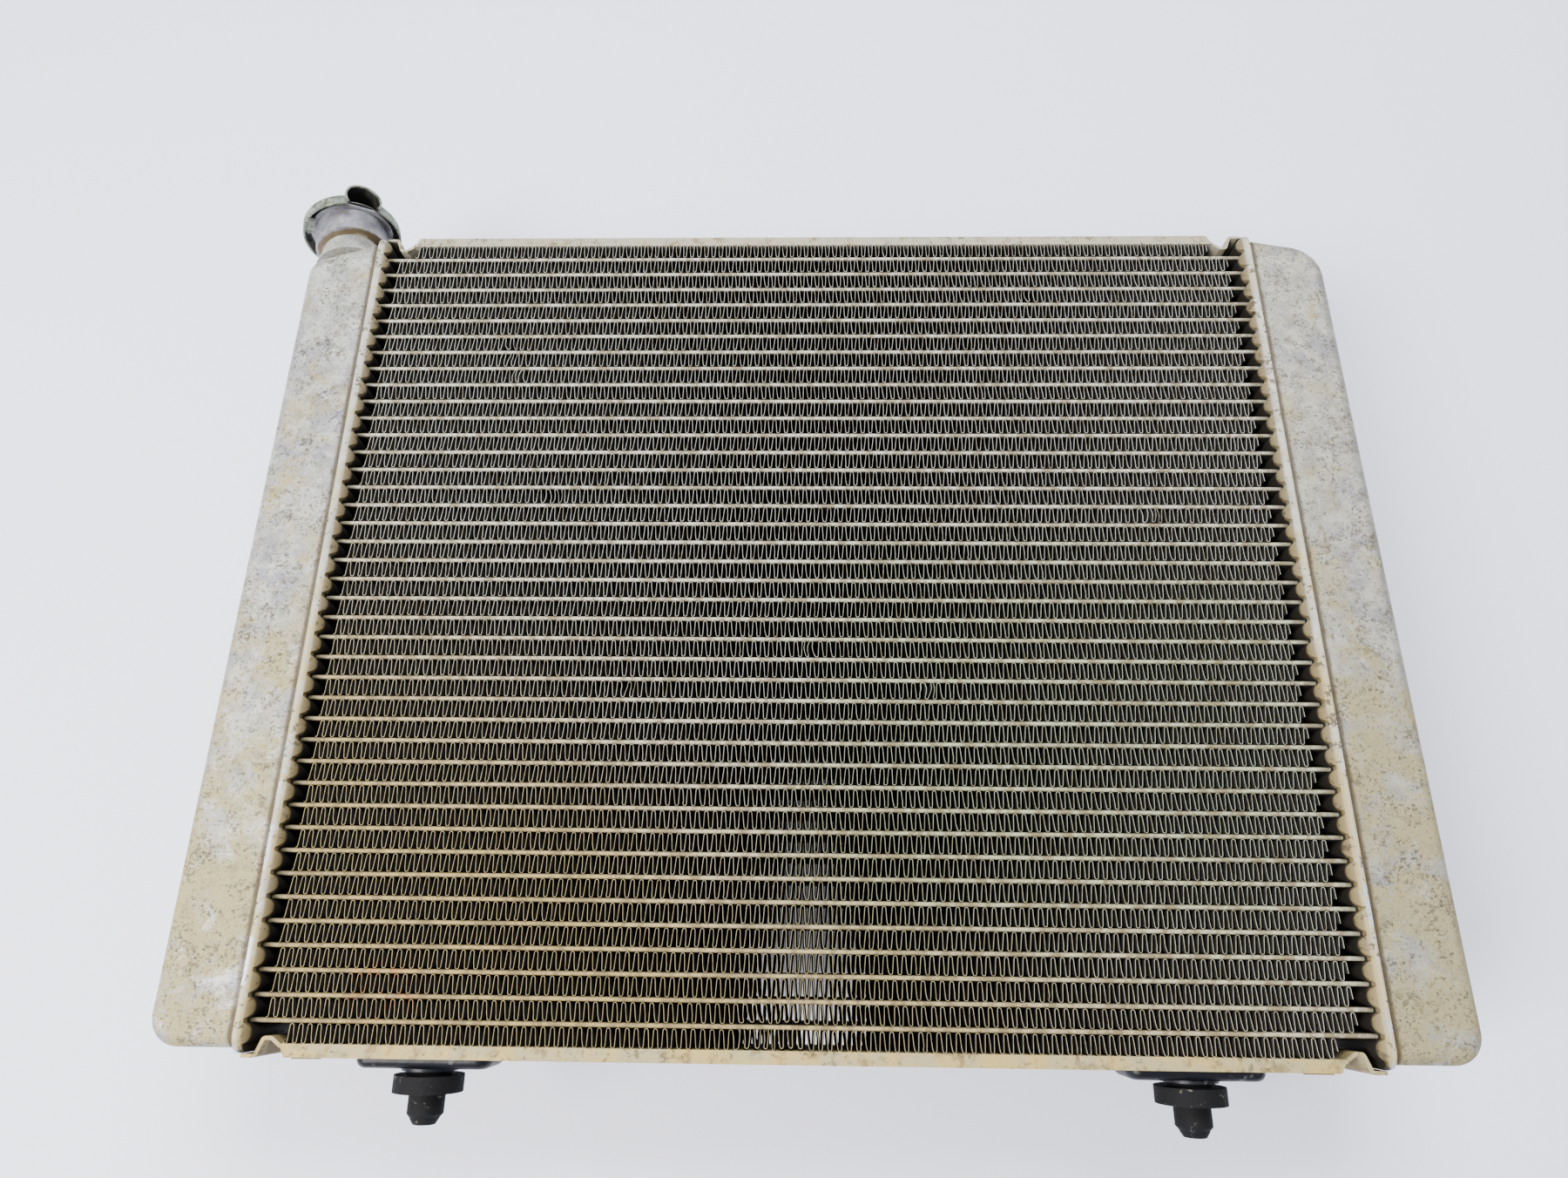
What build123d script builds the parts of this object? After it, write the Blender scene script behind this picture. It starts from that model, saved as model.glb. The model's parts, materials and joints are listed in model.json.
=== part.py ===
from build123d import *
import os
from math import cos, radians, sin, tan

# Crossflow aluminium car radiator, lying on the four fan brackets behind it.
# X runs along the tubes, Y from the lower pins to the filler neck, and Z out of the
# core's front face. The origin is the centre of the four fan bracket holes, on the
# plane that the brackets rest on. All sizes are in millimetres and degrees.

# ---- core ----
tube_count = 40
tube_pitch = 10.0
tube_thick = 2.0
tube_wall = 0.3
core_depth = 36.0
core_width = 458.2
outer_fin_short = 8.9       # the two outermost fin rows stop short of the plates' kinks
fin_folds = 16              # each fold here stands for seven of the real strip
fin_stock = 0.43
fin_crest = 2.0

# ---- header plates ----
tube_bare = 6.6             # bare tube between the fins and the header's valleys
header_wall = 1.6
header_rim = 2.0            # wall of the rim that wraps the tank's edge
rim_reach = 1.8             # how far the rim passes the plate's inner face
rim_gap = 0.1
header_corner = 8.5
header_round = 5.2          # from the rim round to the plate's face
scallop_height = 2.8
scallop_chord = 8.4
tube_stand_in = 1.5         # tube end past the plate, inside the tank

# ---- tanks ----
tank_width = 41.2
tank_depth = 43.6
tank_over_core = 2.0        # each end of the tank, past the outermost fin row
tank_wall = 2.0
tank_edge = 6.5
tank_bottom_corner = 13.0
left_top_slope = 18.0
left_top_corner = 12.0
right_top_slope = 10.7
right_top_corner = 20.0

# ---- side plates ----
plate_stock = 1.5
flange_reach = 5.3
flange_inset = 14.0         # from the header's valleys to the folded flanges' ends
flange_end_cut = 3.0
web_end_inset = 1.0         # the bare ends are narrower than the core, each side
kink_depth = 2.8
kink_inset = 8.0
kink_half = 4.0
kink_bends = (1.6, 1.3, 1.3, 1.3)
lip_inset = 1.6             # from the header's rim
lip_gap = 0.1
lug_inset = 4.0             # the small upright lug behind each kink
lug_length = 13.0
lug_reach = 9.0

# ---- fan brackets ----
stand_off = 62.0            # from the tanks' backs to the resting plane
bracket_stock = 3.0
bracket_width = 24.0
bracket_bend = 4.0
bracket_leg_inset = 12.2    # from the header plate's inner face
bracket_pad = 20.0
bracket_foot = 22.0
bolt_from_leg = 11.5
bolt_span_y = 220.0
bolt_hole_r = 3.3

# ---- hose spigots ----
spigot_r = 16.0
spigot_wall = 1.8
spigot_land_r = 17.0
spigot_land = 4.0
spigot_inset = 20.0         # from the tank's outer side
spigot_drop = 41.0          # from the tank's end
spigot_floor_gap = 6.0
spigot_stand_in = 1.0

# ---- drain ----
drain_drop = 28.0           # from the tank's lower end
drain_boss_r = 9.5
drain_boss_height = 7.0
drain_thread_r = 5.0
drain_clear = 0.06
drain_shank = 8.0
drain_head_r = 8.0
drain_head = 3.0
drain_wing = (15.0, 3.0, 8.0)
seal_stock = 1.6
face_gap = 0.1

# ---- lower mounts ----
mount_inset = 73.4          # from the header's valleys
cup_length = 58.0
cup_depth = 28.0
cup_drop = 8.0
cup_wall = 2.0
cup_corner = 6.0
cup_edge = 3.5
cup_boss_r = 12.0
cup_boss = 1.2
stud_r = 4.0
stud_clear = 0.1
stud_head_r = 8.0
stud_head = 2.0
stud_length = 17.0
pin_r = 7.6
collar_r = 14.7
boot_neck_r = 9.6
boot_neck = 1.7
collar_height = 6.8
pin_length = 8.3
pin_steps = ((7.0, 0.7), (6.2, 0.9), (6.0, 0.6), (4.7, 2.0))

# ---- filler neck ----
neck_lean_out = 12.0
neck_lean_back = 4.5
neck_base_inset = 14.7      # from the tank's outer side
neck_base_drop = 2.0        # below the tank's top end
neck_height = 27.0          # from its base point to the flange's top
neck_foot = 17.2            # the neck's foot on the tank's boss, below the flange's top
neck_foot_r = 15.6
neck_cup_r = 19.9
neck_wall = 1.5
neck_bore_r = 11.5
neck_flange_r = 22.4
neck_flange = 1.5
neck_taper_top = 15.4
seat_drop = 13.6
notch_width = 14.0
boss_root_r = 20.0
boss_sink = 4.0             # the boss's root, below the neck's base point
nipple_r = 3.2
nipple_bore_r = 2.2
nipple_land_r = 3.8
nipple_land = 2.0
nipple_drop = 9.2
nipple_reach = 40.0

# ---- pressure cap ----
cap_rest_turn = 35.0        # the front ear's direction, from straight forward to the core
cap_r = 26.6
cap_stock = 1.0
cap_skirt = 4.5             # skirt below the neck flange's top
cap_shoulder = 4.0
gasket_gap = 0.3
gasket_stock = 1.5
gasket_r = 21.0
gasket_bore_r = 15.0
disc_stock = 0.5
disc_rise = 0.8
disc_r = 21.3
disc_flat_r = 9.8
ear_r = 9.9
ear_overhang = 1.1          # past the cap's side
ear_length = 12.7
tab_width = 12.0
tab_stock = 1.0
tab_drop = 2.1
tab_reach_r = 21.2
stem_r = 3.0
stem_drop = 4.0
rivet_r = 5.0
rivet_height = 1.2
rivet_crown_r = 3.5
rivet_crown = 0.95
valve_clear = 0.05
collar_tube_r = 4.6
collar_top = 1.5
valve_r = 14.8
valve_stock = 1.0
seat_gap = 0.3
valve_seal = 1.5
valve_seal_r = 14.5
valve_seal_bore_r = 6.0
port_r = 1.6
vacuum_r = 5.0
vacuum_stock = 0.9
vacuum_stem_r = 1.0
vacuum_head_r = 2.4
vacuum_head = 0.6
vacuum_rise = 3.8
spring_wire_r = 0.8
spring_r = 8.2
spring_turns = 4.5
small_wire_r = 0.2
small_spring_r = 1.7
small_turns = 4.0

# ---- what follows from them ----
fin_height = tube_pitch - tube_thick
outer_tube_y = (tube_count - 1) / 2 * tube_pitch
core_half_height = outer_tube_y + tube_thick / 2 + fin_height
tank_half_height = core_half_height + tank_over_core
core_mid_z = stand_off + tank_depth / 2
header_root_x = core_width / 2 + tube_bare
header_inner_x = header_root_x + header_wall
rim_x = header_inner_x + rim_reach
header_depth = tank_depth + 2 * (header_rim + rim_gap)
header_half_height = tank_half_height + rim_gap + header_rim
tank_outer_x = header_inner_x + tank_width
boss_root = neck_height + boss_sink
ear_to = cap_r + ear_overhang
ear_from = ear_to - ear_length
tube_length = 2 * (header_inner_x + tube_stand_in)
web_outer_y = core_half_height + plate_stock
cup_crown_y = web_outer_y + cup_drop
boot_y = cup_crown_y + cup_boss
flange_span = header_root_x - flange_inset
kink_at = header_root_x - kink_inset
mount_x = header_root_x - mount_inset
leg_x = header_inner_x + bracket_leg_inset
bolt_x = leg_x - bolt_from_leg
bolt_y = bolt_span_y / 2
spigot_x = tank_outer_x - spigot_inset
spigot_y = tank_half_height - spigot_drop
drain_y = drain_drop - tank_half_height

neck_axis = Vector(
    -sin(radians(neck_lean_out)),
    cos(radians(neck_lean_out)) * cos(radians(neck_lean_back)),
    -cos(radians(neck_lean_out)) * sin(radians(neck_lean_back)),
)
neck_base = Vector(
    -(tank_outer_x - neck_base_inset), tank_half_height - neck_base_drop, core_mid_z
)
neck_top = neck_base + neck_axis * neck_height
rearward = Vector(0, 0, -1)
neck_rear = (rearward - neck_axis * rearward.dot(neck_axis)).normalized()
# In the neck's frame z is along its axis from the flange's top, and x points rearward.
neck_frame = Plane(origin=neck_top, x_dir=neck_rear, z_dir=neck_axis)


def turned(*profile):
    """Solid of revolution about Z from (radius, height) points."""
    face = Plane.XZ * make_face(Polyline(*profile, close=True))
    return revolve(face, axis=Axis.Z)


def ring(inner_r, outer_r, low, high):
    """Plain ring about Z between two heights."""
    return turned((inner_r, low), (outer_r, low), (outer_r, high), (inner_r, high))


def disc(outer_r, low, high):
    """Plain disc about Z between two heights."""
    return Pos(0, 0, low) * extrude(Circle(outer_r), amount=high - low)


def slab(x0, x1, y0, y1, z0, z1):
    """Box between two corners."""
    centre = Pos((x0 + x1) / 2, (y0 + y1) / 2, (z0 + z1) / 2)
    return centre * Box(x1 - x0, y1 - y0, z1 - z0)


def prism(face, depth):
    """Prism of an XY face, centred on the core's middle plane."""
    return Pos(0, 0, core_mid_z) * extrude(face, amount=depth / 2, both=True)


def mirrored(shape):
    """The same shape on the other tank's side."""
    return mirror(shape, about=Plane.YZ)


def tube_rows():
    return [(row - (tube_count - 1) / 2) * tube_pitch for row in range(tube_count)]


def fin_rows():
    return [(row - tube_count / 2) * tube_pitch for row in range(tube_count + 1)]


# ---- core ----
def flat_tube(length, depth, thick):
    section = Plane.YZ * SlotOverall(depth, thick, rotation=90)
    return extrude(section, amount=length / 2, both=True)


def coolant_tubes():
    outer = flat_tube(tube_length, core_depth, tube_thick)
    inner = flat_tube(
        tube_length + 2, core_depth - 2 * tube_wall, tube_thick - 2 * tube_wall
    )
    tube = outer - inner
    return [Pos(0, y, core_mid_z) * tube.solid() for y in tube_rows()]


def fin_strip(width):
    """One folded strip with flat crests against the tubes on both sides."""
    step = (width - fin_crest) / (2 * fin_folds)
    top = (fin_height - fin_stock) / 2
    line = []
    for crest in range(2 * fin_folds + 1):
        level = top if crest % 2 else -top
        start = -width / 2 + crest * step
        line.append((start, level))
        line.append((start + fin_crest, level))
    upper = [(x, y + fin_stock / 2) for x, y in line]
    lower = [(x, y - fin_stock / 2) for x, y in reversed(line)]
    face = make_face(Polyline(*upper, *lower, close=True))
    return prism(face, core_depth).solid()


def cooling_fins():
    rows = fin_rows()
    full = fin_strip(core_width)
    short = fin_strip(core_width - 2 * outer_fin_short)
    outer = [Pos(0, y, 0) * short for y in (rows[0], rows[-1])]
    return outer + [Pos(0, y, 0) * full for y in rows[1:-1]]


# ---- header plates, drawn for the +X side ----
def scallop_circle():
    """Radius and centre X of the round ridges between the tubes."""
    radius = ((scallop_chord / 2) ** 2 + scallop_height**2) / (2 * scallop_height)
    return radius, header_root_x - scallop_height + radius


def rounded_bar(height, depth, corner, low_x, high_x):
    """Bar along X with a rounded section, centred on the core's middle plane."""
    section = Pos(low_x, 0, core_mid_z) * (Plane.YZ * RectangleRounded(height, depth, corner))
    return extrude(section, amount=high_x - low_x)


def header_plate():
    ridge_r, ridge_x = scallop_circle()
    height = 2 * header_half_height
    ridge_rows = [y for y in fin_rows() if abs(y) < header_half_height - ridge_r]
    ridges = [Pos(ridge_x, y) * Circle(ridge_r) for y in ridge_rows]
    hollows = [Pos(ridge_x, y) * Circle(ridge_r - header_wall) for y in ridge_rows]
    body = Pos((header_root_x + rim_x) / 2, 0) * Rectangle(rim_x - header_root_x, height)
    plate = prism(body + ridges, header_depth)
    pan = rounded_bar(
        height, header_depth, header_corner, header_root_x - scallop_height, rim_x
    )
    plate &= fillet(pan.faces().sort_by(Axis.X)[0].edges(), radius=header_round)
    plate -= rounded_bar(
        height - 2 * header_rim, header_depth - 2 * header_rim, tank_edge,
        header_inner_x, 2 * rim_x,
    )
    plate -= prism(Sketch() + hollows, core_depth)
    slots = [
        Pos(0, y, core_mid_z) * flat_tube(tube_length, core_depth, tube_thick)
        for y in tube_rows()
    ]
    return (plate - slots).solid()


# ---- tanks, drawn for the +X side ----
def tank_outline(slope, top_corner, inset, inner_x):
    """Front outline of a tank, drawn in by a wall and open past inner_x."""
    outer_x = tank_outer_x - inset
    bottom = -tank_half_height + inset
    fall = tan(radians(slope))
    shift = inset / cos(radians(slope))
    bend_y = tank_half_height - shift
    corner_y = bend_y - (outer_x - rim_x) * fall
    points = [
        (inner_x, bottom),
        (outer_x, bottom),
        (outer_x, corner_y),
        (rim_x, bend_y),
        (inner_x, bend_y),
    ]
    radii = [0, tank_bottom_corner - inset, top_corner - inset, 0, 0]
    return make_face(FilletPolyline(*points, radius=radii, close=True))


def tank_solid(slope, top_corner, inset, inner_x):
    block = prism(
        tank_outline(slope, top_corner, inset, inner_x), tank_depth - 2 * inset
    )
    rounded = [
        edge
        for face in (block.faces().sort_by(Axis.Z)[0], block.faces().sort_by(Axis.Z)[-1])
        for edge in face.edges()
        if edge.center().X > inner_x + 0.01
    ]
    return fillet(rounded, radius=tank_edge - inset)


def tank_shell(slope, top_corner):
    outer = tank_solid(slope, top_corner, 0, header_inner_x)
    inner = tank_solid(slope, top_corner, tank_wall, header_inner_x - tank_wall)
    return outer - inner


def spigot_hole(x, y, r):
    return Pos(x, y, stand_off) * Cylinder(r, 4 * tank_wall)


def left_tank():
    shell = mirrored(tank_shell(left_top_slope, left_top_corner))
    boss = turned(
        (0, -neck_foot), (neck_foot_r, -neck_foot), (boss_root_r, -boss_root), (0, -boss_root)
    )
    inside = mirrored(
        tank_solid(left_top_slope, left_top_corner, tank_wall, header_inner_x - tank_wall)
    )
    shell += neck_frame * boss - inside
    shell -= neck_frame * disc(neck_bore_r, -2 * boss_root, 0)
    shell -= spigot_hole(-spigot_x, -spigot_y, spigot_r)
    return shell.solid()


def right_tank():
    shell = tank_shell(right_top_slope, right_top_corner)
    shell -= spigot_hole(spigot_x, spigot_y, spigot_r)
    shell -= spigot_hole(spigot_x, drain_y, drain_thread_r + drain_clear)
    return shell.solid()


# ---- side plates, drawn above the core ----
def web_line():
    """Middle line of the +X half of the plate: web, expansion kink and end lip."""
    web = core_half_height + plate_stock / 2
    crest = web - kink_depth
    lip = header_half_height + lip_gap + plate_stock / 2
    points = [
        (0, web),
        (kink_at - 1.5 * kink_half, web),
        (kink_at - kink_half / 2, crest),
        (kink_at + kink_half / 3, crest),
        (kink_at + kink_half, lip),
        (rim_x - lip_inset, lip),
    ]
    return FilletPolyline(*points, radius=kink_bends)


def side_plate_half():
    end_depth = core_depth - 2 * web_end_inset
    plate = prism(trace(web_line(), line_width=plate_stock), end_depth)
    plate += slab(
        0, flange_span, core_half_height, web_outer_y,
        core_mid_z - core_depth / 2, core_mid_z + core_depth / 2,
    )
    flange = make_face(Polyline(
        (0, core_half_height),
        (flange_span, core_half_height),
        (flange_span - flange_end_cut, core_half_height + flange_reach),
        (0, core_half_height + flange_reach),
        close=True,
    ))
    back_z = core_mid_z - core_depth / 2
    for level in (back_z, back_z + core_depth - plate_stock):
        plate += Pos(0, 0, level) * extrude(flange, amount=plate_stock)
    lug_outer = header_root_x - lug_inset
    lug_inner = lug_outer - lug_length
    plate += slab(
        lug_inner, lug_outer, core_half_height, core_half_height + lug_reach,
        back_z, back_z + plate_stock,
    )
    plate += slab(
        lug_inner, flange_span, core_half_height, web_outer_y, back_z, core_mid_z
    )
    return plate


def top_side_plate():
    half = side_plate_half()
    return (half + mirrored(half)).solid()


def bottom_side_plate():
    return mirror(top_side_plate(), about=Plane.XZ)


# ---- fan brackets ----
def fan_bracket():
    """One folded strip for the +X, +Y corner: pad on the tank, leg and foot."""
    half = bracket_stock / 2
    line = FilletPolyline(
        (leg_x - bracket_foot, half),
        (leg_x, half),
        (leg_x, stand_off - half),
        (leg_x + bracket_pad, stand_off - half),
        radius=bracket_bend,
    )
    strip = extrude(
        Plane.XZ * trace(line, line_width=bracket_stock), amount=bracket_width / 2, both=True
    )
    strip = Pos(0, bolt_y, 0) * strip
    return strip - Pos(bolt_x, bolt_y, 0) * Cylinder(
        bolt_hole_r, 4 * bracket_stock
    )


def fan_brackets():
    one = fan_bracket()
    pair = [one, mirrored(one)]
    corners = pair + [mirror(bracket, about=Plane.XZ) for bracket in pair]
    return [corner.solid() for corner in corners]


# ---- hose spigots ----
def spigot(x, y):
    inner_end = stand_off + tank_wall + spigot_stand_in
    land_end = spigot_floor_gap + spigot_land
    tube = turned(
        (spigot_r - spigot_wall, spigot_floor_gap),
        (spigot_land_r, spigot_floor_gap),
        (spigot_land_r, land_end),
        (spigot_r, land_end + spigot_land_r - spigot_r),
        (spigot_r, inner_end),
        (spigot_r - spigot_wall, inner_end),
    )
    return (Pos(x, y, 0) * tube).solid()


# ---- drain ----
def drain_place():
    return Pos(spigot_x, drain_y, stand_off)


def drain_boss():
    body = ring(drain_thread_r + drain_clear, drain_boss_r, -drain_boss_height, 0)
    return (drain_place() * body).solid()


def drain_seal():
    top = -drain_boss_height - face_gap
    body = ring(drain_thread_r + 2 * drain_clear, drain_head_r, top - seal_stock, top)
    return (drain_place() * body).solid()


def drain_plug():
    head_top = -drain_boss_height - seal_stock - 2 * face_gap
    wing_length, wing_thick, wing_height = drain_wing
    body = disc(drain_thread_r, head_top, head_top + drain_shank)
    body += disc(drain_head_r, head_top - drain_head, head_top)
    low = head_top - drain_head - wing_height
    body += slab(
        -wing_length / 2, wing_length / 2, -wing_thick / 2, wing_thick / 2,
        low, head_top - drain_head,
    )
    return (drain_place() * body).solid()


# ---- lower mounts: each is drawn with z down its pin, from the bracket's boss ----
def mount_frame(x):
    return Plane(origin=(x, -boot_y, core_mid_z), x_dir=(1, 0, 0), z_dir=(0, -1, 0))


def lower_bracket(x):
    """Pressed steel cup welded to the plate's web, with a raised boss for the pin."""
    crown = -cup_boss
    rim = crown - cup_drop
    cup = Pos(0, 0, rim) * extrude(
        RectangleRounded(cup_length, cup_depth, cup_corner), amount=cup_drop
    )
    cup = fillet(cup.faces().sort_by(Axis.Z)[-1].edges(), radius=cup_edge)
    inner = Pos(0, 0, rim) * extrude(
        RectangleRounded(
            cup_length - 2 * cup_wall, cup_depth - 2 * cup_wall, cup_corner - cup_wall
        ),
        amount=cup_drop - cup_wall,
    )
    inner = fillet(inner.faces().sort_by(Axis.Z)[-1].edges(), radius=cup_edge - cup_wall)
    cup = cup - inner + disc(cup_boss_r, crown, 0)
    cup -= disc(stud_r + stud_clear, rim, 0)
    return (mount_frame(x) * cup).solid()


def isolator_stud(x):
    under_crown = -cup_boss - cup_wall
    body = disc(stud_r, under_crown - stud_head, stud_length)
    body += disc(stud_head_r, under_crown - stud_head, under_crown)
    return (mount_frame(x) * body).solid()


def isolator(x):
    level = boot_neck
    profile = [(stud_r, 0), (boot_neck_r, 0), (boot_neck_r, level), (collar_r, level)]
    level += collar_height
    profile += [(collar_r, level), (pin_r, level)]
    level += pin_length
    profile.append((pin_r, level))
    for radius, step in pin_steps:
        level += step
        profile.append((radius, level))
    profile += [(0, level), (0, stud_length), (stud_r, stud_length)]
    return (mount_frame(x) * turned(*profile)).solid()


# ---- filler neck, in the neck's frame ----
def filler_neck():
    inner_r = neck_cup_r - neck_wall
    body = turned(
        (neck_bore_r, -neck_foot),
        (neck_foot_r, -neck_foot),
        (neck_cup_r, -neck_taper_top),
        (neck_cup_r, -neck_flange),
        (neck_flange_r, -neck_flange),
        (neck_flange_r, 0),
        (inner_r, 0),
        (inner_r, -seat_drop),
        (neck_bore_r, -seat_drop),
    )
    middle = (neck_cup_r + neck_flange_r) / 2
    notch = slab(
        middle, 2 * middle, -notch_width / 2, notch_width / 2, -neck_flange, 0
    ) - disc(neck_cup_r, -neck_flange, 0)
    for turn in (0, 180):
        body -= Rot(0, 0, turn + cap_rest_turn) * notch
    body -= Pos(neck_cup_r, 0, -nipple_drop) * Rot(0, 90, 0) * Cylinder(
        nipple_r, 4 * neck_wall
    )
    return (neck_frame * body).solid()


def overflow_nipple():
    start = neck_cup_r - neck_wall / 2
    body = turned(
        (nipple_bore_r, start),
        (nipple_r, start),
        (nipple_r, nipple_reach - nipple_land - (nipple_land_r - nipple_r)),
        (nipple_land_r, nipple_reach - nipple_land),
        (nipple_land_r, nipple_reach),
        (nipple_bore_r, nipple_reach),
    )
    return (neck_frame * Pos(0, 0, -nipple_drop) * Rot(0, 90, 0) * body).solid()


# ---- pressure cap, in the neck's frame ----
gasket_top = gasket_gap + gasket_stock
roof_low = gasket_top + disc_rise + disc_stock
roof_high = roof_low + cap_stock
valve_low = -seat_drop + seat_gap + valve_seal
valve_high = valve_low + valve_stock


def cap_form(offset):
    """Outside form of the cap, or its inside form when drawn in by the stock."""
    outer_r = cap_r - offset
    shoulder = cap_shoulder - offset
    roof = roof_high - offset
    body = disc(outer_r, -cap_skirt, roof)
    body = fillet(body.faces().sort_by(Axis.Z)[-1].edges(), radius=shoulder)
    reach = ear_to + (offset and cap_stock)
    for turn in (0, 180):
        hump = Pos(ear_from, 0, 0) * Sphere(ear_r - offset)
        hump += Pos((ear_from + reach) / 2, 0, 0) * Rot(0, 90, 0) * Cylinder(
            ear_r - offset, reach - ear_from
        )
        body += Rot(0, 0, turn) * hump
    return body & disc(2 * cap_r, -cap_skirt, 2 * cap_r)


def cap_shell():
    body = cap_form(0) - cap_form(cap_stock)
    body -= disc(stem_r, roof_low, roof_high)
    tab = slab(
        tab_reach_r, cap_r - cap_stock / 2, -tab_width / 2, tab_width / 2,
        -tab_drop - tab_stock, -tab_drop,
    )
    tab = tab - disc(tab_reach_r, -tab_drop - tab_stock, -tab_drop)
    for turn in (90, 270):
        body += Rot(0, 0, turn) * tab
    return place_cap(body)


def place_cap(body):
    """Put a piece of the cap on the neck, turned as the closed cap stands."""
    return (neck_frame * Rot(0, 0, cap_rest_turn) * body).solid()


def cap_gasket():
    return place_cap(ring(gasket_bore_r, gasket_r, gasket_gap, gasket_top))


def cap_spring_disc():
    return place_cap(turned(
        (stem_r, roof_low - disc_stock),
        (disc_flat_r, roof_low - disc_stock),
        (gasket_bore_r, gasket_top),
        (disc_r, gasket_top),
        (disc_r, gasket_top + disc_stock),
        (gasket_bore_r, gasket_top + disc_stock),
        (disc_flat_r, roof_low),
        (stem_r, roof_low),
    ))


def cap_stem():
    body = disc(stem_r, -stem_drop, roof_high)
    body += turned(
        (0, roof_high), (rivet_r, roof_high), (rivet_crown_r, roof_high + rivet_crown),
        (0, roof_high + rivet_height),
    )
    return place_cap(body)


def pressure_valve():
    body = disc(valve_r, valve_low, valve_high) + disc(collar_tube_r, valve_low, -collar_top)
    body -= disc(stem_r + valve_clear, valve_high, -collar_top)
    body -= disc(port_r, valve_low, valve_high)
    return place_cap(body)


def pressure_seal():
    return place_cap(
        ring(valve_seal_bore_r, valve_seal_r, valve_low - valve_seal, valve_low)
    )


def vacuum_valve():
    plate_top = valve_low - seat_gap
    head_low = valve_high + vacuum_rise
    body = disc(vacuum_r, plate_top - vacuum_stock, plate_top)
    body += disc(vacuum_stem_r, plate_top, head_low)
    body += disc(vacuum_head_r, head_low, head_low + vacuum_head)
    return place_cap(body)


def coil(radius, wire_r, turns, low, high):
    """Round wire spring whose ends lie just inside two levels."""
    height = high - low - 2 * (wire_r + face_gap)
    path = Pos(0, 0, low + wire_r + face_gap) * Helix(
        pitch=height / turns, height=height, radius=radius
    )
    section = Plane(origin=path @ 0, z_dir=path % 0) * Circle(wire_r)
    return sweep(section, path=path, is_frenet=True)


def pressure_spring():
    return place_cap(
        coil(spring_r, spring_wire_r, spring_turns, valve_high, roof_low - disc_stock)
    )


def vacuum_spring():
    return place_cap(
        coil(small_spring_r, small_wire_r, small_turns, valve_high, valve_high + vacuum_rise)
    )


def nodes():
    """Every node's name and its solids."""
    right_header = header_plate()
    return {
        "coolant_tubes": coolant_tubes(),
        "cooling_fins": cooling_fins(),
        "left_header": mirrored(right_header),
        "right_header": right_header,
        "left_tank": left_tank(),
        "right_tank": right_tank(),
        "top_side_plate": top_side_plate(),
        "bottom_side_plate": bottom_side_plate(),
        "fan_brackets": fan_brackets(),
        "inlet_spigot": spigot(spigot_x, spigot_y),
        "outlet_spigot": spigot(-spigot_x, -spigot_y),
        "drain_boss": drain_boss(),
        "drain_seal": drain_seal(),
        "drain_plug": drain_plug(),
        "left_lower_bracket": lower_bracket(-mount_x),
        "right_lower_bracket": lower_bracket(mount_x),
        "isolator_studs": [isolator_stud(-mount_x), isolator_stud(mount_x)],
        "left_isolator": isolator(-mount_x),
        "right_isolator": isolator(mount_x),
        "filler_neck": filler_neck(),
        "overflow_nipple": overflow_nipple(),
        "cap_shell": cap_shell(),
        "cap_gasket": cap_gasket(),
        "cap_spring_disc": cap_spring_disc(),
        "cap_stem": cap_stem(),
        "pressure_spring": pressure_spring(),
        "pressure_valve": pressure_valve(),
        "pressure_seal": pressure_seal(),
        "vacuum_valve": vacuum_valve(),
        "vacuum_spring": vacuum_spring(),
    }


def main():
    os.makedirs("parts", exist_ok=True)
    for name, solids in nodes().items():
        if isinstance(solids, list):
            solids = Compound(solids)
        export_step(solids, f"parts/{name}.step")


if __name__ == "__main__":
    main()
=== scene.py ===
import json
import math
import random

import bpy
import numpy as np
from mathutils import Matrix, Vector


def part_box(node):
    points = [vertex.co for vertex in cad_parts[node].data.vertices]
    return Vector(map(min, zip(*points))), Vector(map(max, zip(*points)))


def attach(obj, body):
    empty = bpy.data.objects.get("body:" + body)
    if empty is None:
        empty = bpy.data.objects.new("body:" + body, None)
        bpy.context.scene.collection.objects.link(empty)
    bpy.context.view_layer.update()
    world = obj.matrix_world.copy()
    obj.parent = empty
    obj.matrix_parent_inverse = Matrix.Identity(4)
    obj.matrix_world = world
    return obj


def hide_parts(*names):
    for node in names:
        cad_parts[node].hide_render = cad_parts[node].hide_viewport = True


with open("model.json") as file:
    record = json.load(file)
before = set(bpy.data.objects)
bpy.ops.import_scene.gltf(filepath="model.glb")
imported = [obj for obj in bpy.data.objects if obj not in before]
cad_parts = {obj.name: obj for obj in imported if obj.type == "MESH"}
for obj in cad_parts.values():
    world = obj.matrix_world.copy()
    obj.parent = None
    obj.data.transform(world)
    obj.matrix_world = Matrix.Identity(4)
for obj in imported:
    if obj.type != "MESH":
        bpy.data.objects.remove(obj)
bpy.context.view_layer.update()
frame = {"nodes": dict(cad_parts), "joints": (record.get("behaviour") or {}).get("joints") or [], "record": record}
NODES = frame["nodes"]
MM = 0.001


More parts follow.
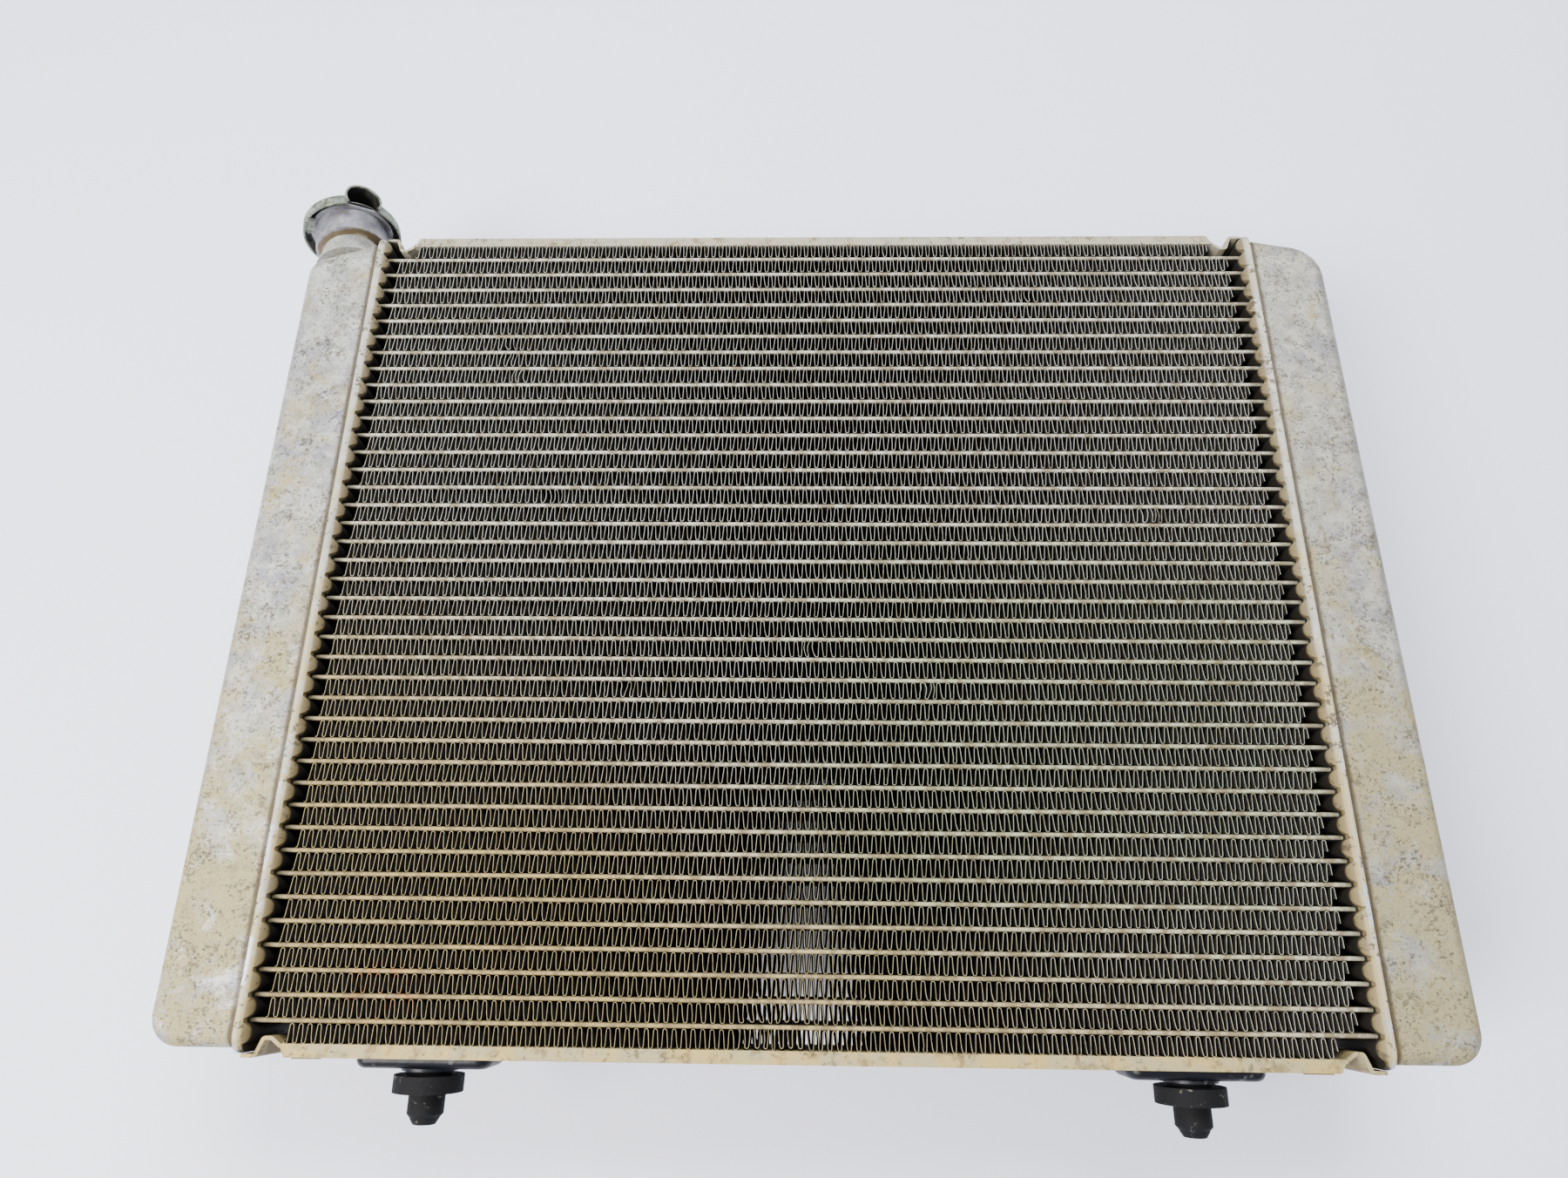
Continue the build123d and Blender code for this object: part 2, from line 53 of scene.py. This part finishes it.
# ---- node material helpers ----
class Mat:
    """A small builder for node materials."""

    def __init__(self, name):
        self.mat = bpy.data.materials.new(name)
        self.mat.use_nodes = True
        self.tree = self.mat.node_tree
        self.tree.nodes.clear()
        self.out = self.tree.nodes.new("ShaderNodeOutputMaterial")
        self.bsdf = self.tree.nodes.new("ShaderNodeBsdfPrincipled")
        self.tree.links.new(self.bsdf.outputs[0], self.out.inputs["Surface"])
        self.coord = self.tree.nodes.new("ShaderNodeTexCoord").outputs["Object"]

    def put(self, socket, value):
        if isinstance(value, bpy.types.NodeSocket):
            self.tree.links.new(value, socket)
        elif isinstance(value, (tuple, list)) and socket.type == "RGBA":
            socket.default_value = (*value[:3], 1.0)
        else:
            socket.default_value = value

    def set(self, **values):
        for key, value in values.items():
            self.put(self.bsdf.inputs[key.replace("_", " ")], value)

    def vec(self, scale=(1, 1, 1), offset=(0, 0, 0)):
        n = self.tree.nodes.new("ShaderNodeMapping")
        self.put(n.inputs["Vector"], self.coord)
        n.inputs["Scale"].default_value = scale
        n.inputs["Location"].default_value = offset
        return n.outputs[0]

    def noise(self, scale, detail=3.0, rough=0.55, vector=None, warp=0.0):
        n = self.tree.nodes.new("ShaderNodeTexNoise")
        self.put(n.inputs["Vector"], vector or self.coord)
        n.inputs["Scale"].default_value = scale
        n.inputs["Detail"].default_value = detail
        n.inputs["Roughness"].default_value = rough
        n.inputs["Distortion"].default_value = warp
        return n.outputs["Fac"]

    def ramp(self, value, low, high, a=0.0, b=1.0):
        n = self.tree.nodes.new("ShaderNodeMapRange")
        n.interpolation_type = "SMOOTHSTEP"
        self.put(n.inputs["Value"], value)
        n.inputs["From Min"].default_value = low
        n.inputs["From Max"].default_value = high
        n.inputs["To Min"].default_value = a
        n.inputs["To Max"].default_value = b
        return n.outputs[0]

    def math(self, op, a, b=0.0):
        n = self.tree.nodes.new("ShaderNodeMath")
        n.operation = op
        self.put(n.inputs[0], a)
        self.put(n.inputs[1], b)
        return n.outputs[0]

    def mix(self, factor, a, b):
        n = self.tree.nodes.new("ShaderNodeMix")
        n.data_type = "RGBA"
        self.put(n.inputs["Factor"], factor)
        # Sockets 6 and 7 are the colour A and B, and output 2 is the colour.
        self.put(n.inputs[6], a)
        self.put(n.inputs[7], b)
        return n.outputs[2]

    def axis(self, name):
        n = self.tree.nodes.new("ShaderNodeSeparateXYZ")
        self.put(n.inputs[0], self.coord)
        return n.outputs[name]

    def along(self, direction, origin):
        """Distance of the shaded point from an origin, measured along a direction."""
        n = self.tree.nodes.new("ShaderNodeVectorMath")
        n.operation = "DOT_PRODUCT"
        self.put(n.inputs[0], self.coord)
        n.inputs[1].default_value = direction
        return self.math("SUBTRACT", n.outputs["Value"], Vector(direction).dot(Vector(origin)))

    def bump(self, height, strength, distance, below=None):
        n = self.tree.nodes.new("ShaderNodeBump")
        self.put(n.inputs["Height"], height)
        n.inputs["Strength"].default_value = strength
        n.inputs["Distance"].default_value = distance
        if below is not None:
            self.put(n.inputs["Normal"], below)
        self.put(self.bsdf.inputs["Normal"], n.outputs[0])
        return n.outputs[0]


def box_mask(m, x0, x1, y0, y1, soft):
    """1 inside a patch of the core's plan, in metres, with a soft edge."""
    x, y = m.axis("X"), m.axis("Y")
    a = m.ramp(x, x0 - soft, x0 + soft)
    b = m.ramp(x, x1 - soft, x1 + soft, 1.0, 0.0)
    c = m.ramp(y, y0 - soft, y0 + soft)
    d = m.ramp(y, y1 - soft, y1 + soft, 1.0, 0.0)
    return m.math("MULTIPLY", m.math("MULTIPLY", a, b), m.math("MULTIPLY", c, d))


def lin(r, g, b):
    """Linear colour from 0 to 255 display values."""
    out = []
    for v in (r, g, b):
        v /= 255
        out.append(v / 12.92 if v <= 0.04045 else ((v + 0.055) / 1.055) ** 2.4)
    return tuple(out)


# ---- the filler neck's own axes, from the cap's joint ----
CAP_TURN = [joint for joint in frame["joints"] if joint["name"] == "cap_turn"][0]
NECK_AXIS = Vector(CAP_TURN["axis"]).normalized()
NECK_TOP = Vector(CAP_TURN["pos_m"])
NECK_REAR = Vector((0, 0, -1))
NECK_REAR = (NECK_REAR - NECK_AXIS * NECK_REAR.dot(NECK_AXIS)).normalized()
NECK_SIDE = NECK_AXIS.cross(NECK_REAR)
CAP_REST_TURN = math.radians(35)
EAR_AXIS = NECK_REAR * math.cos(CAP_REST_TURN) + NECK_SIDE * math.sin(CAP_REST_TURN)
EAR_SIDE = NECK_AXIS.cross(EAR_AXIS)
# EAR_FROM, EAR_R and EAR_TO bound the hollow of the cap's ears, where the cap material paints shade.
EAR_FROM = 15.0 * MM
EAR_R = 9.5 * MM
EAR_TO = 27.7 * MM


# ---- materials ----
def specks(m, colour, dark, scale, low, high, strength):
    """Ragged dark specks, thicker in some places than in others."""
    crowd = m.noise(scale / 8, 3, 0.6, vector=m.vec(offset=(0.4, 0.9, 0.2)))
    ragged = m.noise(scale, 5, 0.7, vector=m.vec(offset=(0.7, 0.1, scale)))
    level = m.math("ADD", ragged, m.math("MULTIPLY", m.math("SUBTRACT", crowd, 0.5), 0.35))
    return m.mix(m.ramp(level, low, high, 0.0, strength), colour, dark)


def dusted(m, colour, dust, amount_low, amount_high, scale, fall=0.10):
    """Uneven dust that gets thicker towards the lower end."""
    y = m.axis("Y")
    large = m.noise(scale, 6, 0.68, warp=0.5)
    grain = m.noise(420, 3, 0.6)
    amount = m.math("ADD", large, m.ramp(y, -0.21, 0.20, fall, -fall))
    amount = m.math("ADD", amount, m.math("MULTIPLY", m.math("SUBTRACT", grain, 0.5), 0.25))
    share = m.ramp(amount, amount_low, amount_high)
    return m.mix(share, colour, dust), share


def tank_material():
    m = Mat("weathered_tank_alloy")
    tint = m.noise(13, 5, 0.6, warp=0.8)
    base = m.mix(m.ramp(tint, 0.44, 0.60), lin(146, 147, 145), lin(134, 134, 148))
    fine = m.noise(75, 6, 0.7, vector=m.vec(offset=(0.3, 0.1, 0.2)))
    base = m.mix(m.ramp(fine, 0.42, 0.60), base, lin(178, 178, 172))
    x = m.math("ABSOLUTE", m.axis("X"))
    side = m.ramp(x, 0.262, 0.240, 0.0, 0.09)
    colour, share = dusted(m, base, lin(160, 149, 108), 0.46, 0.66, 40, 0.12)
    beige = m.noise(28, 5, 0.65, vector=m.vec(offset=(0.9, 0.2, 0.5)))
    rim_dust = m.ramp(m.math("ADD", beige, side), 0.54, 0.68)
    colour = m.mix(m.math("MULTIPLY", rim_dust, 0.7), colour, lin(160, 150, 114))
    dark = m.noise(130, 5, 0.7, vector=m.vec(offset=(2.1, 0.2, 0.5)))
    colour = m.mix(m.ramp(dark, 0.50, 0.70, 0.0, 0.65), colour, lin(112, 106, 88))
    grain = m.noise(900, 4, 0.8, vector=m.vec(offset=(0.6, 0.2, 1.5)))
    colour = m.mix(m.ramp(grain, 0.30, 0.52, 0.55, 0.0), colour, lin(96, 91, 78))
    right = m.ramp(m.axis("X"), 0.0, 0.1, 0.10, 0.42)
    colour = m.mix(right, colour, lin(112, 106, 84))
    colour = specks(m, colour, lin(74, 66, 48), 420, 0.565, 0.64, 0.7)
    colour = specks(m, colour, lin(96, 84, 56), 210, 0.585, 0.67, 0.6)
    colour = specks(m, colour, lin(58, 52, 40), 800, 0.57, 0.64, 0.8)
    # Painted shadow: a dark brown line on the tank just outside the header's raised rim, where the rim's shadow
    # falls.
    rim = m.math("ADD", x, m.math("MULTIPLY", m.noise(160, 3, 0.6), 0.0014))
    painted_rim_shadow = m.ramp(rim, 0.2440, 0.2420)
    colour = m.mix(m.math("MULTIPLY", painted_rim_shadow, 0.88), colour, lin(62, 50, 30))
    # Painted shade: the tank gets darker towards its back, away from the core face.
    low = m.ramp(m.axis("Z"), 0.096, 0.070, 0.0, 0.55)
    colour = m.mix(low, colour, lin(96, 93, 82))
    m.set(Base_Color=colour, Metallic=0.25, Roughness=m.ramp(share, 0, 1, 0.46, 0.78))
    first = m.bump(m.noise(900, 2, 0.6), 0.35, 0.0003)
    m.bump(m.noise(60, 5, 0.65), 0.35, 0.0012, first)
    return m.mat


def header_material():
    m = Mat("pressed_header_alloy")
    base = m.mix(m.ramp(m.noise(55, 5), 0.4, 0.6), lin(142, 140, 130), lin(170, 169, 160))
    colour, share = dusted(m, base, lin(156, 141, 98), 0.42, 0.60, 60, 0.12)
    x = m.math("ABSOLUTE", m.axis("X"))
    inner = m.ramp(x, 0.2366, 0.2350)
    colour = m.mix(m.math("MULTIPLY", inner, 0.92), colour, lin(104, 90, 58))
    # Painted highlight: a lighter line along the crest of the header's crimped rim.
    crest = m.math("MULTIPLY", m.ramp(x, 0.2368, 0.2376), m.ramp(x, 0.2390, 0.2383))
    colour = m.mix(m.math("MULTIPLY", crest, 0.55), colour, lin(176, 172, 156))
    # Partly wear, partly painted sheen: a pale bluish patch on the rim's outer strip over the lower half; the same
    # mask lowers the roughness where it is worn.
    worn = m.math(
        "MULTIPLY",
        m.ramp(m.noise(90, 4, 0.6, vector=m.vec(offset=(0.1, 0.5, 0.4))), 0.50, 0.62),
        m.ramp(m.axis("Y"), -0.02, -0.12),
    )
    worn = m.math("MULTIPLY", worn, m.ramp(x, 0.2370, 0.2380))
    colour = m.mix(m.math("MULTIPLY", worn, 0.8), colour, lin(176, 184, 206))
    colour = specks(m, colour, lin(60, 50, 30), 330, 0.555, 0.63, 0.85)
    # Painted shade: the header goes nearly black behind its front, inboard of the rim, where the scallops drop
    # into the core.
    low = m.math("MULTIPLY", m.ramp(m.axis("Z"), 0.1050, 0.1030), m.ramp(x, 0.2385, 0.2375))
    colour = m.mix(m.math("MULTIPLY", low, 0.97), colour, lin(16, 13, 9))
    m.set(Base_Color=colour, Metallic=0.25, Roughness=m.ramp(worn, 0, 1, 0.66, 0.34))
    first = m.bump(m.noise(700, 2), 0.3, 0.0003)
    m.bump(m.noise(90, 4), 0.4, 0.0008, first)
    return m.mat


def plate_material(name, clean, dust):
    m = Mat(name)
    y = m.axis("Y")
    colour = m.mix(m.ramp(m.noise(70, 5, 0.65), 0.40, 0.60), clean, dust)
    grey = m.math("MULTIPLY", m.ramp(y, 0.0, 0.1), 0.75)
    colour = m.mix(grey, colour, lin(148, 146, 134))
    stain = m.noise(150, 5, 0.7, vector=m.vec(offset=(0.3, 0.3, 0.8)))
    colour = m.mix(m.ramp(stain, 0.50, 0.66, 0.0, 0.7), colour, lin(106, 86, 48))
    colour = specks(m, colour, lin(76, 62, 34), 330, 0.57, 0.65, 0.7)
    # Painted shade: the plate gets darker behind the core's front face.
    low = m.ramp(m.axis("Z"), 0.1008, 0.0900)
    colour = m.mix(m.math("MULTIPLY", low, 0.65), colour, lin(70, 62, 46))
    m.set(Base_Color=colour, Metallic=0.2, Roughness=0.72)
    m.bump(m.noise(400, 4, 0.65), 0.4, 0.0005)
    return m.mat


def core_colour(m, pale, tan):
    """The core's dust: pale above, greenish to the right, tan and rusty low on the left."""
    x, y = m.axis("X"), m.axis("Y")
    wander = m.math("MULTIPLY", m.math("SUBTRACT", m.noise(7, 4, 0.6), 0.5), 0.22)
    slope = m.math("ADD", m.math("MULTIPLY", x, -0.55), m.math("MULTIPLY", y, -1.0))
    tanned = m.ramp(m.math("ADD", slope, wander), 0.00, 0.24)
    colour = m.mix(tanned, pale, tan)
    green = box_mask(m, 0.00, 0.24, -0.16, 0.02, 0.05)
    colour = m.mix(m.math("MULTIPLY", green, 0.5), colour, lin(124, 138, 92))
    rust = box_mask(m, -0.196, -0.166, -0.194, -0.172, 0.008)
    patch = m.ramp(m.noise(260, 3, 0.6), 0.45, 0.6)
    rust = m.math("MULTIPLY", rust, patch)
    colour = m.mix(m.math("MULTIPLY", rust, 0.8), colour, lin(172, 104, 48))
    return colour


def tube_material():
    m = Mat("dusty_core_tube")
    colour = core_colour(m, lin(176, 172, 156), lin(150, 130, 80))
    patch = m.noise(190, 5, 0.72)
    colour = m.mix(m.ramp(patch, 0.40, 0.60, 0.0, 0.85), colour, lin(98, 84, 54))
    # Painted shade: each tube's flanks, towards the fins, are darker than its middle, repeating every 10 mm row.
    row = m.math("FRACT", m.math("DIVIDE", m.math("ADD", m.axis("Y"), 0.4), 0.01))
    edge = m.math("ABSOLUTE", m.math("SUBTRACT", row, 0.5))
    colour = m.mix(m.ramp(edge, 0.05, 0.10, 0.0, 0.45), colour, lin(84, 74, 50))
    bare = m.ramp(m.math("ABSOLUTE", m.axis("X")), 0.2292, 0.2310)
    colour = m.mix(m.math("MULTIPLY", bare, 0.55), colour, lin(110, 104, 86))
    # Painted shade: the tubes go nearly black just behind their front noses, inside the core.
    deep = m.ramp(m.axis("Z"), 0.1014, 0.1007)
    colour = m.mix(m.math("MULTIPLY", deep, 0.98), colour, lin(14, 12, 9))
    m.set(Base_Color=colour, Metallic=0.15, Roughness=0.66)
    m.bump(m.noise(400, 4), 0.5, 0.0005)
    return m.mat


def fin_material():
    m = Mat("louvred_fin_strip")
    z = m.axis("Z")
    colour = core_colour(m, lin(166, 164, 152), lin(152, 136, 92))
    patch = m.noise(200, 4, 0.6)
    colour = m.mix(m.ramp(patch, 0.45, 0.65, 0.0, 0.7), colour, lin(104, 94, 66))
    # Painted shade: the fins go nearly black just behind their front edges, inside the core.
    deep = m.ramp(z, 0.10176, 0.10160)
    colour = m.mix(m.math("MULTIPLY", deep, 0.995), colour, lin(11, 9, 7))
    m.set(Base_Color=colour, Metallic=0.1, Roughness=0.7)
    slit = m.math("PINGPONG", z, 0.0006)
    m.bump(m.ramp(slit, 0.0001, 0.0005), 0.8, 0.0006)
    return m.mat


def neck_material():
    m = Mat("bluish_neck_alloy")
    mottle = m.noise(110, 6, 0.7, warp=0.6)
    base = m.mix(m.ramp(mottle, 0.35, 0.65), lin(112, 111, 124), lin(152, 152, 154))
    streak = m.noise(220, 5, 0.7, vector=m.vec(scale=(1, 4, 1)))
    base = m.mix(m.ramp(streak, 0.52, 0.66, 0.0, 0.6), base, lin(138, 126, 92))
    level = m.along(NECK_AXIS, NECK_TOP)
    edge = m.math("ADD", level, m.math("MULTIPLY", m.noise(90, 3), 0.002))
    # Painted shade: a brown band in the groove at the foot of the neck.
    neck_groove_shade = m.math("MULTIPLY", m.ramp(edge, -0.0146, -0.0152), m.ramp(edge, -0.0166, -0.0160))
    colour = m.mix(m.math("MULTIPLY", neck_groove_shade, 0.9), base, lin(84, 68, 36))
    foot = m.ramp(edge, -0.0158, -0.0166)
    colour = m.mix(m.math("MULTIPLY", foot, 0.9), colour, lin(150, 142, 112))
    m.set(Base_Color=colour, Metallic=0.45, Roughness=0.42)
    m.bump(m.noise(300, 4), 0.35, 0.0004)
    return m.mat


def cap_material():
    m = Mat("oxidised_cap_steel")
    patch = m.noise(140, 6, 0.75, warp=0.6)
    base = m.mix(m.ramp(patch, 0.40, 0.58), lin(96, 102, 94), lin(142, 146, 136))
    stain = m.noise(220, 5, 0.75, vector=m.vec(offset=(0.2, 0.7, 0.1)))
    colour = m.mix(m.ramp(stain, 0.48, 0.62, 0.0, 0.85), base, lin(70, 74, 54))
    # Painted shade: the hollow inside each of the cap's ears is painted near black and non-metallic.
    along = m.math("ABSOLUTE", m.along(EAR_AXIS, NECK_TOP))
    back = m.math("MAXIMUM", m.math("SUBTRACT", EAR_FROM, along), 0.0)
    high = m.along(NECK_AXIS, NECK_TOP)
    side = m.along(EAR_SIDE, NECK_TOP)
    total = m.math("POWER", back, 2.0)
    for offset in (high, side):
        total = m.math("ADD", total, m.math("POWER", m.math("ABSOLUTE", offset), 2.0))
    inside = m.ramp(m.math("SQRT", total), EAR_R, EAR_R - 0.0003)
    mouth = m.ramp(along, EAR_TO - 0.0002, EAR_TO - 0.0014)
    inside = m.math("MULTIPLY", inside, mouth)
    colour = m.mix(m.math("MULTIPLY", inside, 0.97), colour, lin(12, 12, 9))
    metallic = m.ramp(inside, 0, 1, 0.4, 0.0)
    m.set(Base_Color=colour, Metallic=metallic, Roughness=m.ramp(patch, 0.35, 0.65, 0.38, 0.6))
    m.bump(m.noise(350, 5, 0.7), 0.5, 0.0006)
    return m.mat


def rubber_material():
    m = Mat("scuffed_black_rubber")
    scuff = m.noise(240, 6, 0.75, warp=0.6)
    worn = m.ramp(scuff, 0.60, 0.68)
    colour = m.mix(m.math("MULTIPLY", worn, 0.5), lin(12, 12, 14), lin(120, 114, 98))
    m.set(Base_Color=colour, Roughness=0.75, Specular_IOR_Level=0.15)
    m.bump(m.noise(500, 4), 0.4, 0.0006)
    return m.mat


def paint_material():
    m = Mat("worn_black_gloss")
    worn = m.ramp(m.noise(160, 6, 0.7), 0.58, 0.68)
    colour = m.mix(m.math("MULTIPLY", worn, 0.45), lin(12, 13, 20), lin(104, 106, 108))
    m.set(Base_Color=colour, Roughness=0.42, Specular_IOR_Level=0.22)
    m.bump(m.noise(200, 4), 0.4, 0.0006)
    return m.mat


def plain_metal(name, a, b, rough, metallic=0.9):
    m = Mat(name)
    m.set(Base_Color=m.mix(m.noise(120, 4), a, b), Metallic=metallic, Roughness=rough)
    m.bump(m.noise(500, 3), 0.15, 0.0003)
    return m.mat


def plastic_material():
    m = Mat("moulded_black_plastic")
    m.set(Base_Color=m.mix(m.noise(80, 4), lin(30, 30, 32), lin(46, 46, 48)), Roughness=0.55)
    m.bump(m.noise(900, 2), 0.2, 0.0002)
    return m.mat


SLOT_MATERIALS = {
    "core_tube": tube_material(),
    "core_fin": fin_material(),
    "header_alloy": header_material(),
    "tank_alloy": tank_material(),
    "plate_alloy": plate_material("dusty_plate_alloy", lin(150, 140, 104), lin(166, 144, 88)),
    "neck_alloy": neck_material(),
    "black_paint": paint_material(),
    "plated_steel": plain_metal("zinc_plate", lin(150, 150, 150), lin(186, 186, 180), 0.4),
    "black_rubber": rubber_material(),
    "drain_plastic": plastic_material(),
    "cap_steel": cap_material(),
    "spring_steel": plain_metal("spring_steel", lin(160, 160, 158), lin(190, 190, 186), 0.3),
    "valve_brass": plain_metal("turned_brass", lin(176, 146, 82), lin(200, 170, 104), 0.35),
}

for entry in frame["record"]["subparts"]:
    node = NODES[entry["node"]]
    node.data.materials.clear()
    node.data.materials.append(SLOT_MATERIALS[entry["material_slot"]])


# ---- fins ----
TUBES = 40
TUBE_THICK = 2.0 * MM
WAVES = 116
FIN_STOCK = 0.30 * MM
CREST_R = 0.78 * MM
tube_low, tube_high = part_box("coolant_tubes")
fin_low, fin_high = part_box("cooling_fins")
PITCH = (tube_high.y - tube_low.y - TUBE_THICK) / (TUBES - 1)
FRONT, BACK = fin_high.z, fin_low.z
WAVE = (fin_high.x - fin_low.x) / WAVES
OUTER_SHORT = 8.9 * MM      # the outer rows stop short of the others by this, at each end
EDGE_STOCK = 0.20 * MM      # the strip's front edge, as seen
LOUVRE_STOCK = 1.35 * MM    # what the louvres block, halfway in
LEAN = 0.16                 # most that a row's folds lean, and the share of it that shows
LEAN_SHARE = 0.35
WOBBLE = 0.10 * MM


def wave_points(half_gap):
    """Offsets along one wave of the strip, from a low crest's start: (x, y) pairs."""
    r = CREST_R
    leg = half_gap - r
    quarter = WAVE / 4
    run = quarter - r
    pts = []
    for k in range(5):
        a = math.pi * (1 - k / 4)
        pts.append((r * math.cos(a), -leg - r * math.sin(a)))
    for k in range(1, 3):
        t = k / 3
        pts.append((r + 2 * run * t, -leg + 2 * leg * t))
    for k in range(5):
        a = math.pi * (1 - k / 4)
        pts.append((2 * quarter + r * math.cos(a), leg + r * math.sin(a)))
    for k in range(1, 3):
        t = k / 3
        pts.append((2 * quarter + r + 2 * run * t, leg - 2 * leg * t))
    return pts


BENT = (
    # x, y, radius, push in x, push in y, in mm in the row frame
    (-160.4, 134.3, 5.0, 1.5, 0.6),
    (-154.2, 119.7, 4.0, -1.2, 0.4),
    (-129.1, 49.5, 5.0, 1.6, -0.5),
    (118.2, 169.7, 5.0, -1.5, 0.6),
    (168.9, 39.8, 5.0, 1.5, 0.8),
    (1.0, -30.0, 4.0, -1.4, 0.5),
    (-85.1, -47.6, 4.0, 1.2, -0.5),
    (55.9, -48.8, 4.0, 1.6, 0.5),
    (-22.0, -199.0, 9.0, 1.4, 1.2),
    (-6.0, -199.0, 9.0, -1.2, 1.6),
)


def fin_row(row, rng):
    """Centre line of one row of the strip, as an array of x, y and its row's middle."""
    middle = (row - TUBES / 2) * PITCH
    half_gap = (PITCH - TUBE_THICK) / 2 - FIN_STOCK / 2
    width = fin_high.x - fin_low.x
    if row in (0, TUBES):
        width -= 2 * OUTER_SHORT
    count = int(round(width / WAVE))
    one = np.array(wave_points(half_gap))
    start = -count * WAVE / 2
    lean = rng.uniform(-LEAN, LEAN)
    rows = []
    for k in range(count):
        wobble = rng.gauss(0, WOBBLE)
        piece = one.copy()
        piece[:, 0] = one[:, 0] * (1 + rng.gauss(0, 0.02)) + start + k * WAVE + wobble
        piece[:, 0] += one[:, 1] * lean * LEAN_SHARE
        rows.append(piece)
    line = np.concatenate(rows)
    line[:, 1] = np.clip(line[:, 1], -half_gap, half_gap)
    return line, middle


def make_fins():
    rng = random.Random(4)
    # Depth and thickness: thin edges in front and behind, and the louvres' width between.
    deep = (
        (FRONT, EDGE_STOCK),
        (FRONT - 1.2 * MM, EDGE_STOCK),
        (FRONT - 6 * MM, 0.5 * MM),
        (FRONT - 14 * MM, LOUVRE_STOCK),
        (BACK + 9 * MM, LOUVRE_STOCK),
        (BACK, 0.3 * MM),
    )
    verts, faces = [], []
    base = 0
    for row in range(TUBES + 1):
        line, middle = fin_row(row, rng)
        delta = np.gradient(line, axis=0)
        length = np.maximum(np.hypot(delta[:, 0], delta[:, 1]), 1e-9)
        normal = np.stack([-delta[:, 1] / length, delta[:, 0] / length], 1)
        n = len(line)
        for side in (1, -1):
            for z, stock in deep:
                flat = line + normal * side * stock / 2
                x = flat[:, 0].copy()
                y = flat[:, 1].copy()
                near = max(0.0, 1 - (FRONT - z) / (4 * MM))
                if near > 0:
                    for bx, by, br, px, py in BENT:
                        d = np.hypot(x - bx * MM, y + middle - by * MM) / (br * MM)
                        w = np.clip(1 - d, 0, 1) ** 0.6 * near
                        x = x + w * px * MM
                        y = y + w * py * MM
                y = np.clip(y, -(PITCH - TUBE_THICK) / 2, (PITCH - TUBE_THICK) / 2)
                x = np.clip(x, fin_low.x, fin_high.x)
                verts.append(np.stack([x, y + middle, np.full(n, z)], 1))
        levels = len(deep)
        i = np.arange(n - 1)
        for side in (0, 1):
            for level in range(levels - 1):
                a = base + (side * levels + level) * n
                b = a + n
                quad = np.stack([a + i, a + i + 1, b + i + 1, b + i], 1)
                faces.append(quad if side else quad[:, ::-1])
        top_a, top_b = base, base + levels * n
        faces.append(np.stack([top_a + i, top_a + i + 1, top_b + i + 1, top_b + i], 1))
        end_a, end_b = base + (levels - 1) * n, base + (2 * levels - 1) * n
        faces.append(np.stack([end_b + i, end_b + i + 1, end_a + i + 1, end_a + i], 1))
        base += 2 * levels * n
    verts = np.concatenate(verts).astype(np.float32)
    faces = np.concatenate(faces).astype(np.int32)
    mesh = bpy.data.meshes.new("folded_fins")
    mesh.vertices.add(len(verts))
    mesh.vertices.foreach_set("co", verts.ravel())
    mesh.loops.add(len(faces) * 4)
    mesh.loops.foreach_set("vertex_index", faces.ravel())
    mesh.polygons.add(len(faces))
    mesh.polygons.foreach_set("loop_start", np.arange(len(faces), dtype=np.int32) * 4)
    mesh.update(calc_edges=True)
    mesh.validate()
    obj = bpy.data.objects.new("folded_fins", mesh)
    bpy.context.scene.collection.objects.link(obj)
    mesh.materials.append(SLOT_MATERIALS["core_fin"])
    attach(obj, "radiator")
    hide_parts("cooling_fins")


make_fins()


# ---- floor, light and camera ----
def make_floor():
    mesh = bpy.data.meshes.new("bench_top")
    half = 3.0
    corners = [(-half, -half, 0), (half, -half, 0), (half, half, 0), (-half, half, 0)]
    mesh.from_pydata(corners, [], [(0, 1, 2, 3)])
    floor = bpy.data.objects.new("bench_top", mesh)
    bpy.context.scene.collection.objects.link(floor)
    m = Mat("pale_bench")
    m.set(Base_Color=m.mix(m.noise(3, 3), lin(222, 224, 238), lin(226, 228, 241)), Roughness=0.8)
    mesh.materials.append(m.mat)


def area_light(name, place, target, size, power, colour=(1, 1, 1)):
    data = bpy.data.lights.new(name, "AREA")
    data.shape = "RECTANGLE"
    data.size, data.size_y = size
    data.energy = power
    data.color = colour
    light = bpy.data.objects.new(name, data)
    light.location = place
    light.rotation_euler = (Vector(target) - Vector(place)).to_track_quat("-Z", "Y").to_euler()
    bpy.context.scene.collection.objects.link(light)


def make_light():
    world = bpy.data.worlds.new("studio")
    bpy.context.scene.world = world
    world.use_nodes = True
    background = world.node_tree.nodes["Background"]
    background.inputs["Color"].default_value = (0.93, 0.95, 1.0, 1)
    background.inputs["Strength"].default_value = 0.80
    area_light("key", (-1.0, -0.6, 1.4), (0, 0, 0.1), (0.8, 0.8), 74, (1, 0.985, 0.965))
    area_light("overhead", (0.15, 0.95, 1.7), (0, 0, 0.1), (1.2, 0.8), 58, (0.96, 0.98, 1))


def make_camera():
    data = bpy.data.cameras.new("view")
    data.sensor_width = 36.0
    data.lens = 22.910
    data.clip_start = 0.01
    forward = Vector((-0.023107, 0.344757, -0.938408)).normalized()
    right = Vector((0.999723, 0.012166, -0.020147))
    right = (right - forward * right.dot(forward)).normalized()
    up = right.cross(forward)
    turn = Matrix((right, up, -forward)).transposed()
    camera = bpy.data.objects.new("view", data)
    camera.matrix_world = Matrix.Translation((-0.00062, -0.16677, 0.55666)) @ turn.to_4x4()
    bpy.context.scene.collection.objects.link(camera)
    bpy.context.scene.camera = camera


make_floor()
make_light()
make_camera()
